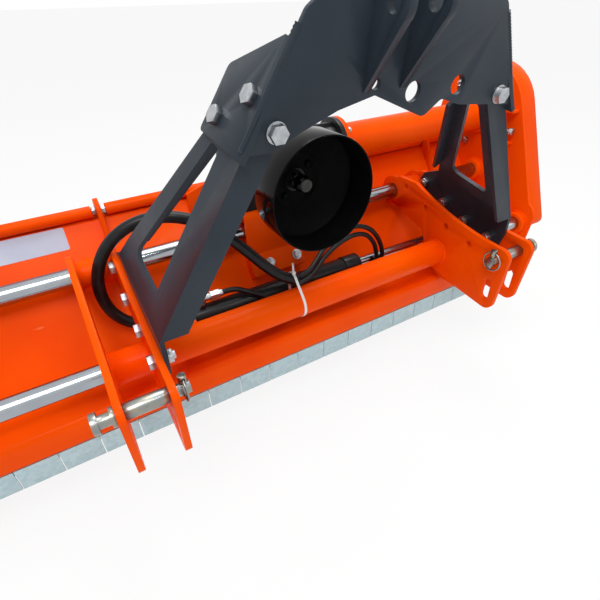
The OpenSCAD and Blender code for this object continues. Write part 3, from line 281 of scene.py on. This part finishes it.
# %% [markdown]
# Every solid gets its finish by the record's material slot, so no piece is forgotten. The PTO shaft is
# delivered oiled, which makes its steel nearly black.

# %% Give each solid its finish
slot_finish = {"orange_paint": orange, "slate_paint": slate, "black_paint": black_paint,
    "guard_plastic": guard_black, "chrome": chrome, "zinc": zinc, "yellow_zinc": pin_zinc,
    "galvanised": galvanised, "cast": casting, "bare_steel": steel, "bush": bronze, "rubber": rubber,
    "tie_plastic": nylon}
slot_of = {part["node"]: part["material_slot"] for part in frame["record"]["subparts"]}
body_of = {n: b for b, members in frame["record"]["behaviour"]["bodies"].items() for n in members}
for name, solid in nodes.items():
    solid.data.materials.clear()
    solid.data.materials.append(oiled_steel if name == "pto_shaft" else slot_finish[slot_of[name]])
print("finished", len(nodes), "solids in", len({solid.data.materials[0] for solid in nodes.values()}), "finishes")

# %% [markdown]
# Hoses come before other pieces, because they set how far the model reaches. Two pressure hoses run in
# one sleeve, which loops over the left hitch plate and hangs behind it. They part at the cable tie: one
# goes to the rod side of the cylinder in a bow, the other turns back along the barrel. Each is a curve
# with one spline through the same points as in the source, with a round section.

# %% Hose curves
def smooth_route(points, steps=6):
    """Points of a smooth curve through the route, as in the source."""
    made = []
    for i in range(len(points) - 1):
        b, c = Vector(points[i]), Vector(points[i + 1])
        a = Vector(points[i - 1]) if i else 2 * b - c
        d = Vector(points[i + 2]) if i + 2 < len(points) else 2 * c - b
        for k in range(steps):
            t = k / steps
            made.append(0.5 * (2 * b + t * (c - a) + t * t * (2 * a - 5 * b + 4 * c - d)
                + t ** 3 * (3 * b - a - 3 * c + d)))
    return made + [Vector(points[-1])]


def hose(name, node, route, diameter):
    line = [on_carriage(*p) for p in smooth_route(route)]
    data = bpy.data.curves.new(name, "CURVE")
    data.dimensions = "3D"
    data.bevel_depth = diameter / 2
    data.bevel_resolution = 6
    data.use_fill_caps = True
    spline = data.splines.new("POLY")
    spline.points.add(len(line) - 1)
    for point, at in zip(spline.points, line):
        point.co = (*at, 1.0)
    piece = put(name, data)
    data.materials.append(rubber)
    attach(piece, "carriage")
    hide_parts(node)


loop_route = [(-40, 18, 46), (-74, 33, 62), (-102, 49, 87), (-127, 64, 116), (-152, 78, 145), (-179, 91, 173),
    (-210, 103, 198), (-244, 115, 215), (-282, 127, 224), (-322, 136, 224), (-361, 143, 212), (-395, 147, 189),
    (-421, 148, 157), (-437, 146, 119), (-441, 141, 79), (-432, 133, 41), (-408, 125, 11), (-373, 119, -5),
    (-330, 118, -8)]
rod_route = [(-33.2, 22, 51), (-2, 28, 56), (26, 43, 64), (52, 57, 75), (80, 66, 89), (110, 69, 102),
    (141, 67, 111), (172, 62, 109), (200, 58, 94), (222, 55.5, 69), (238, 54, 38), (245, 54, 6), (242, 55.5, -14),
    (233, 60, -29), (219, 67, -41), (203, 72.8, -47.2), (184.8, 74, -48)]
base_route = [(-40.4, 12, 40), (-6, 20, 42.5), (25, 36, 49), (56, 51, 61), (88, 58, 75), (122, 60, 87),
    (157, 60, 91), (190, 59, 80), (213, 57, 54), (222, 55.5, 30), (225.5, 54.5, 6), (222, 53.5, -15),
    (213, 52, -30), (199, 50.5, -41), (180, 49.5, -47), (140, 48, -49), (96, 47, -48), (55, 47, -46),
    (19, 46.5, -43), (-16, 45, -37), (-50, 43, -26), (-81, 41, -9), (-96, 41, 1), (-113, 43, 12),
    (-140, 53, 28.5), (-168, 68, 39.5), (-187, 73.2, 41.8), (-204.4, 74, 42)]
hose("hose_sleeve", "hose_loop", loop_route, 0.025)
hose("rod_side_hose", "hose_rod_side", rod_route, 0.012)
hose("base_side_hose", "hose_base_side", base_route, 0.012)

# %% [markdown]
# Real plates have broken edges that catch the light, and the solids have sharp ones. A solid itself is
# left alone: its mesh is copied, the copy's loose triangles are merged, flat faces are joined, and a
# narrow bevel is put on every sharp edge. The copy then stands for the solid and moves with its body.

# %% Soft edges
same_point, flat, sharp = 0.00002, math.radians(0.5), math.radians(32)


def only(piece):
    bpy.ops.object.select_all(action="DESELECT")
    piece.select_set(True)
    bpy.context.view_layer.objects.active = piece


def soft_edged(name, width):
    piece = put(name + "_edged", nodes[name].data.copy())
    only(piece)
    bpy.ops.mesh.customdata_custom_splitnormals_clear()
    bpy.ops.object.mode_set(mode="EDIT")
    bpy.ops.mesh.select_all(action="SELECT")
    bpy.ops.mesh.remove_doubles(threshold=same_point)
    bpy.ops.mesh.dissolve_limited(angle_limit=flat)
    bpy.ops.object.mode_set(mode="OBJECT")
    bevel = piece.modifiers.new("edge", "BEVEL")
    bevel.width, bevel.segments = width, 2
    bevel.limit_method, bevel.angle_limit = "ANGLE", sharp
    bpy.ops.object.modifier_apply(modifier=bevel.name)
    bpy.ops.object.shade_smooth_by_angle(angle=sharp)
    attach(piece, body_of[name])
    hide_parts(name)
    return piece


edge_widths = {"hood_shell": 0.0008, "left_side_plate": 0.001, "right_side_plate": 0.001, "rail_bosses": 0.0015,
    "hood_hinge_lugs": 0.001, "hood_hinge_bolts": 0.0008, "gearbox_saddle": 0.001, "gearbox": 0.002,
    "gearbox_bolts": 0.0008, "pto_guard": 0.0008, "drive_tube": 0.0015, "belt_cover": 0.003, "rod_lug": 0.001,
    "belt_tensioner": 0.001, "hitch_plate_a": 0.0009, "hitch_plate_b": 0.0009, "hitch_plate_c": 0.0009,
    "hitch_plate_d": 0.0009, "front_sleeve": 0.001, "rear_sleeves": 0.001, "left_leg": 0.0025,
    "right_leg": 0.0025, "mast": 0.002, "top_link_ears": 0.0012, "headstock_bolts": 0.001,
    "cylinder_barrel": 0.0015, "cylinder_gland": 0.0015, "cylinder_base_lug": 0.001, "hitch_pin_left": 0.001,
    "hitch_pin_right": 0.001, "front_flaps": 0.0005, "rear_hood": 0.0008, "rear_roller": 0.002, "skids": 0.001}
edged = {name: soft_edged(name, width) for name, width in edge_widths.items()}
print("softened", len(edged), "pieces,", sum(len(p.data.polygons) for p in edged.values()), "faces")

# %% [markdown]
# The photograph shows the flaps about a centimetre longer than the solids have them. Their lower ends are
# picked by height and drawn straight down, so the knuckles stay on their rod.

# %% Longer flaps
def pick_nothing(mesh):
    for part in (mesh.polygons, mesh.edges, mesh.vertices):
        part.foreach_set("select", [False] * len(part))


def lowest(piece):
    return min(vertex.co.z for vertex in piece.data.vertices)


longer, end_height = 0.0105, 0.004
flaps = edged["front_flaps"]
end_top = lowest(flaps) + end_height
pick_nothing(flaps.data)
for vertex in flaps.data.vertices:
    vertex.select = vertex.co.z < end_top
only(flaps)
bpy.ops.object.mode_set(mode="EDIT")
bpy.ops.transform.translate(value=(0, 0, -longer))
bpy.ops.object.mode_set(mode="OBJECT")
print("flaps now end", round(lowest(flaps) * 1000, 1), "mm above the floor")

# %% [markdown]
# Little light gets into the guard, and its moulded inside is duller than its polished wall. So the faces
# that look towards the axis, or lie close round it, take a duller finish whose darker colour is painted
# shade. The zinc bolts in there take the same painted shade.

# %% Painted shade inside the guard
gearbox_x, pto_up = 120, 272
guard_axis = place(gearbox_x, 0, pto_up)
floor_r, bolts_r, bolts_end = 0.09, 0.055, place(0, 60, 0).y


def repaint(piece, finish, is_there):
    """Give the faces that the test picks a second finish, and count them."""
    piece.data.materials.append(finish)
    for face in piece.data.polygons:
        if is_there(face):
            face.material_index = 1
    return sum(face.material_index for face in piece.data.polygons)


def from_axis(face):
    return Vector((face.center.x - guard_axis.x, 0, face.center.z - guard_axis.z))


def in_guard_shade(face):
    out = from_axis(face)
    return face.normal.dot(out) < -0.3 * out.length or out.length < floor_r


def on_bolt_in_guard_shade(face):
    return from_axis(face).length < bolts_r and face.center.y < bolts_end


# The guard's inner faces and the zinc bolts inside it take the painted shade.
print("dark faces:", repaint(edged["pto_guard"], painted_shade_in_guard, in_guard_shade), "in the guard and",
    repaint(edged["gearbox_bolts"], painted_shade_in_guard, on_bolt_in_guard_shade), "on its bolts")

# %% [markdown]
# The belt tensioner's tabs are painted with the body, but its two bolts are put in afterwards and stay
# zinc plated. The faces close round each bolt's axis take the zinc, apart from the tab that the bolt is in.

# %% Plated bolts of the belt tensioner
tension_bolt, plate_bolt = place(860, 0, 251), place(0, 247, 191)
tension_r, plate_r = 0.0107, 0.0125
tab_front, tab_back = place(0, 124, 0).y, place(0, 134, 0).y


def on_tension_bolt(face):
    at = face.center
    on_tab = abs(face.normal.y) > 0.9 and tab_front < at.y < tab_back
    round_tension = math.hypot(at.x - tension_bolt.x, at.z - tension_bolt.z) < tension_r
    round_plate = math.hypot(at.y - plate_bolt.y, at.z - plate_bolt.z) < plate_r
    return round_plate or (round_tension and not on_tab)


print("plated faces:", repaint(edged["belt_tensioner"], zinc, on_tension_bolt))

# %% [markdown]
# The cable tie has a head, where its tail comes out and stands up behind the hoses. The head starts as a
# cube. Its top face is drawn in to the section of the tail, which is then extruded in short steps that
# bend more and more to the rear. A bevel breaks all its edges.

# %% Head and tail of the cable tie
def settle(name, scale=(1, 1, 1)):
    """Name the shape that was just added, and take its place, turn and scale into its mesh."""
    piece = bpy.context.object
    piece.name, piece.scale = name, scale
    bpy.ops.object.transform_apply(location=True, rotation=True, scale=True)
    return piece


tail_steps = ((0, 0.0006, 0.005), (0.0008, 0.0014, 0.005), (0.001, 0.0026, 0.0042), (0.0014, 0.0036, 0.003))
bpy.ops.mesh.primitive_cube_add(size=1.0, location=on_carriage(-51, 17.4, 71))
tie_head = settle("tie_head", scale=(0.008, 0.008, 0.0055))
pick_nothing(tie_head.data)
max(tie_head.data.polygons, key=lambda face: face.center.z).select = True
bpy.ops.object.mode_set(mode="EDIT")
bpy.ops.mesh.select_mode(type="FACE")
bpy.ops.mesh.inset(thickness=0.0012)
bpy.ops.transform.resize(value=(0.85, 0.26, 1.0))
for step in tail_steps:
    bpy.ops.mesh.extrude_region_move(TRANSFORM_OT_translate={"value": step})
bpy.ops.mesh.select_mode(type="VERT")
bpy.ops.object.mode_set(mode="OBJECT")
edge = tie_head.modifiers.new("edge", "BEVEL")
edge.width, edge.segments = 0.0004, 2
bpy.ops.object.modifier_apply(modifier=edge.name)
bpy.ops.object.shade_smooth_by_angle(angle=math.radians(40))
tie_head.data.materials.append(nylon)
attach(tie_head, "carriage")
print("tie head has", len(tie_head.data.polygons), "faces")

# %% [markdown]
# Where a tube meets a plate there is a weld: a bead with a row of small scales, like coins pushed over.
# A ring bead starts as a torus. Every second ring of its points is drawn in, which leaves the scales,
# and one level of subdivision rounds them. The copies differ only in size and place.

# %% Weld beads
bead_sides, scale_length = 8, 0.0048


def weld_ring(name, centre, radius, bead, body):
    sections = 2 * round(math.pi * radius / scale_length)
    bpy.ops.mesh.primitive_torus_add(major_radius=radius, minor_radius=bead, major_segments=sections,
        minor_segments=bead_sides, location=centre, rotation=(0, math.pi / 2, 0))
    ring = settle(name)
    for i, vertex in enumerate(ring.data.vertices):
        vertex.select = (i // bead_sides) % 2 == 0
    bpy.ops.object.mode_set(mode="EDIT")
    bpy.ops.transform.shrink_fatten(value=-0.22 * bead)
    bpy.ops.object.mode_set(mode="OBJECT")
    smooth = ring.modifiers.new("round", "SUBSURF")
    smooth.levels = smooth.render_levels = 1
    bpy.ops.object.modifier_apply(modifier=smooth.name)
    bpy.ops.object.shade_smooth()
    ring.data.materials.append(orange)
    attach(ring, body)


rear_rail_low, rear_rail_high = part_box("rear_rail")
rear_mid = (rear_rail_low + rear_rail_high) / 2
rear_low, rear_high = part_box("rear_sleeves")
boss_low, boss_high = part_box("rail_bosses")
(_, a_right), (b_left, b_right), (c_left, c_right), (d_left, _) = (
    [corner.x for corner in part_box(f"hitch_plate_{letter}")] for letter in "abcd")
proud = 0.001
sleeve_r, rear_r, boss_r = 0.034, (rear_high.z - rear_low.z) / 2, 0.032
welds = [("sleeve", x, rail_mid, sleeve_r, "carriage")
    for x in (a_right, b_left, b_right, c_left, c_right, d_left)]
welds += [("rear_sleeve", x, rear_mid, rear_r, "carriage") for x in (a_right, b_left, c_right, d_left)]
welds += [("boss", x, mid, boss_r, "mower_body")
    for mid in (rail_mid, rear_mid) for x in (boss_low.x, boss_high.x)]
for i, (label, x, mid, radius, body) in enumerate(welds):
    weld_ring(f"{label}_weld_{i}", Vector((x, mid.y, mid.z)), radius + proud, 0.0038, body)
print("laid", len(welds), "weld rings")

# %% [markdown]
# The mast is folded from plate and closed by a weld along its front corners. This bead is straight, so it
# starts as a small disc. The disc is extruded scale by scale along the corner, and each second step is
# drawn in a little, about its own middle.

# %% Straight weld beads
step_length, squeeze = 0.0055, 0.8


def weld_line(name, start, end, bead, body, finish):
    way = end - start
    count = 2 * round(way.length / step_length)
    step = way / count
    bpy.ops.mesh.primitive_circle_add(vertices=bead_sides, radius=bead, fill_type="NGON", location=start,
        rotation=way.to_track_quat("Z", "Y").to_euler())
    seam = settle(name)
    bpy.ops.object.mode_set(mode="EDIT")
    bpy.ops.mesh.select_all(action="SELECT")
    for i in range(count):
        bpy.ops.mesh.extrude_region_move(TRANSFORM_OT_translate={"value": step})
        size = squeeze if i % 2 == 0 else 1 / squeeze
        bpy.ops.transform.resize(value=(size, size, size), center_override=start + step * (i + 1))
    bpy.ops.mesh.select_all(action="SELECT")
    bpy.ops.mesh.normals_make_consistent(inside=False)
    bpy.ops.object.mode_set(mode="OBJECT")
    bpy.ops.object.shade_smooth_by_angle(angle=math.radians(60))
    seam.data.materials.append(finish)
    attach(seam, body)
    return seam


leg_x = {-1: 388, 1: 470}
lean_run, overhang, half_plate = 0.593, 9, 4
fold_y, fold_z, tilt = -138, 132, math.radians(5.7)


def mast_corner(side, height):
    """A point of the mast's front corner: side is -1 for the left one, and height runs up the tilted plate."""
    edge = leg_x[side] - lean_run * height + overhang
    return on_carriage(side * edge, fold_y - height * math.sin(tilt) - half_plate,
        fold_z + height * math.cos(tilt))


weld_low, weld_high = 284, 424
for side, label in ((-1, "left"), (1, "right")):
    seam = weld_line(f"mast_weld_{label}", mast_corner(side, weld_low), mast_corner(side, weld_high), 0.0055,
        "carriage", slate)
print("welded the mast's corners")

# %% [markdown]
# A pale decal lies on the upper left of the sloping panel. It is a plain plate of film: a plane turned to
# the panel's slope, with its corners cut round by a bevel on its points, and a hair of thickness.

# %% Bare decal
decal_white = finish_of("decal_film", 0.34, coat=0.03, specular=0.12)
vary(decal_white, "Base Color", noise_of(decal_white, 12.0, 3.0), (0.3, 0.7), (0.46, 0.5, 0.62), (0.54, 0.58, 0.7))
panel_rise, panel_run = 263, 195
foot_y, foot_z, decal_y = 105, -79, 283
decal_z = foot_z + panel_rise / panel_run * (decal_y - foot_y)
bpy.ops.mesh.primitive_plane_add(size=1.0, location=place(-530, decal_y, decal_z),
    rotation=(math.atan2(panel_rise, panel_run), 0, 0))
decal = settle("panel_decal", scale=(0.41, 0.05, 1))
bpy.ops.object.mode_set(mode="EDIT")
bpy.ops.mesh.select_all(action="SELECT")
bpy.ops.mesh.bevel(offset=0.004, segments=4, affect="VERTICES")
bpy.ops.object.mode_set(mode="OBJECT")
film = decal.modifiers.new("film", "SOLIDIFY")
film.thickness, film.offset = 0.0004, 1.0
bpy.ops.object.modifier_apply(modifier=film.name)
decal.data.materials.append(decal_white)
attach(decal, "mower_body")
print("laid the decal,", len(decal.data.polygons), "faces")

# %% [markdown]
# Soft daylight from a large white room suits the picture: the background and floor are white, broad
# lamps stand above and to the left, and a low one fills in the shaded side of the plates. Floor and world
# glow white only to the camera and in reflections; as light they are weaker, so colours stay as they are
# written. A narrow strip lamp in front draws the long bright lines that round bars show in a workshop.

# %% Floor and light
def looked_at(owner):
    """One for rays from the camera, off a gloss or through glass, and nought for rays that only light."""
    path = add(owner, "ShaderNodeLightPath")
    shiny = add(owner, "ShaderNodeMath",
        [(0, path.outputs["Is Camera Ray"]), (1, path.outputs["Is Glossy Ray"])], operation="MAXIMUM")
    clear = add(owner, "ShaderNodeMath",
        [(0, shiny.outputs[0]), (1, path.outputs["Is Transmission Ray"])], operation="MAXIMUM")
    return clear.outputs[0]


white = (1, 1, 1, 1)
bpy.ops.mesh.primitive_plane_add(size=240.0, location=(0, 0, -0.0015))
floor = bpy.context.object
floor.name = "floor"
paper = finish_of("white_paper", 0.8)
shader_of(paper).inputs["Base Color"].default_value = (0.92, 0.92, 0.92, 1.0)
floor.data.materials.append(paper)
glow = add(paper, "ShaderNodeEmission", [("Color", white), ("Strength", 1.0)])
share = add(paper, "ShaderNodeMath", [(0, looked_at(paper)), (1, 0.9)], operation="MULTIPLY")
blend = add(paper, "ShaderNodeMixShader",
    [("Fac", share.outputs[0]), (1, shader_of(paper).outputs["BSDF"]), (2, glow.outputs["Emission"])])
paper.node_tree.links.new(blend.outputs[0], paper.node_tree.nodes["Material Output"].inputs["Surface"])

world = bpy.data.worlds.new("white_room")
bpy.context.scene.world = world
world.use_nodes = True
sky = world.node_tree.nodes["Background"]
sky.inputs["Color"].default_value = white
level = add(world, "ShaderNodeMapRange", [("Value", looked_at(world)), ("To Min", 0.34), ("To Max", 1.0)])
world.node_tree.links.new(level.outputs["Result"], sky.inputs["Strength"])


def lamp(name, at, towards, size, power, height=None):
    data = bpy.data.lights.new(name, "AREA")
    data.shape, data.size, data.energy = "DISK", size, power
    if height:
        data.shape, data.size_y = "RECTANGLE", height
    made = put(name, data)
    made.location = at
    made.rotation_euler = (Vector(towards) - Vector(at)).to_track_quat("-Z", "Y").to_euler()


lamp("key_lamp", (-1.1, -1.7, 3.5), (0, 0, 0.4), 1.8, 62)
lamp("top_lamp", (0.8, 0.6, 3.4), (0, 0, 0.4), 2.2, 66)
lamp("fill_lamp", (2.8, -2.2, 1.6), (0.2, 0, 0.4), 1.6, 7)
lamp("strip_lamp", (0.4, -1.8, 2.7), (-0.1, 0, 0.35), 1.0, 9, height=0.1)
print("floor, world and four lamps")
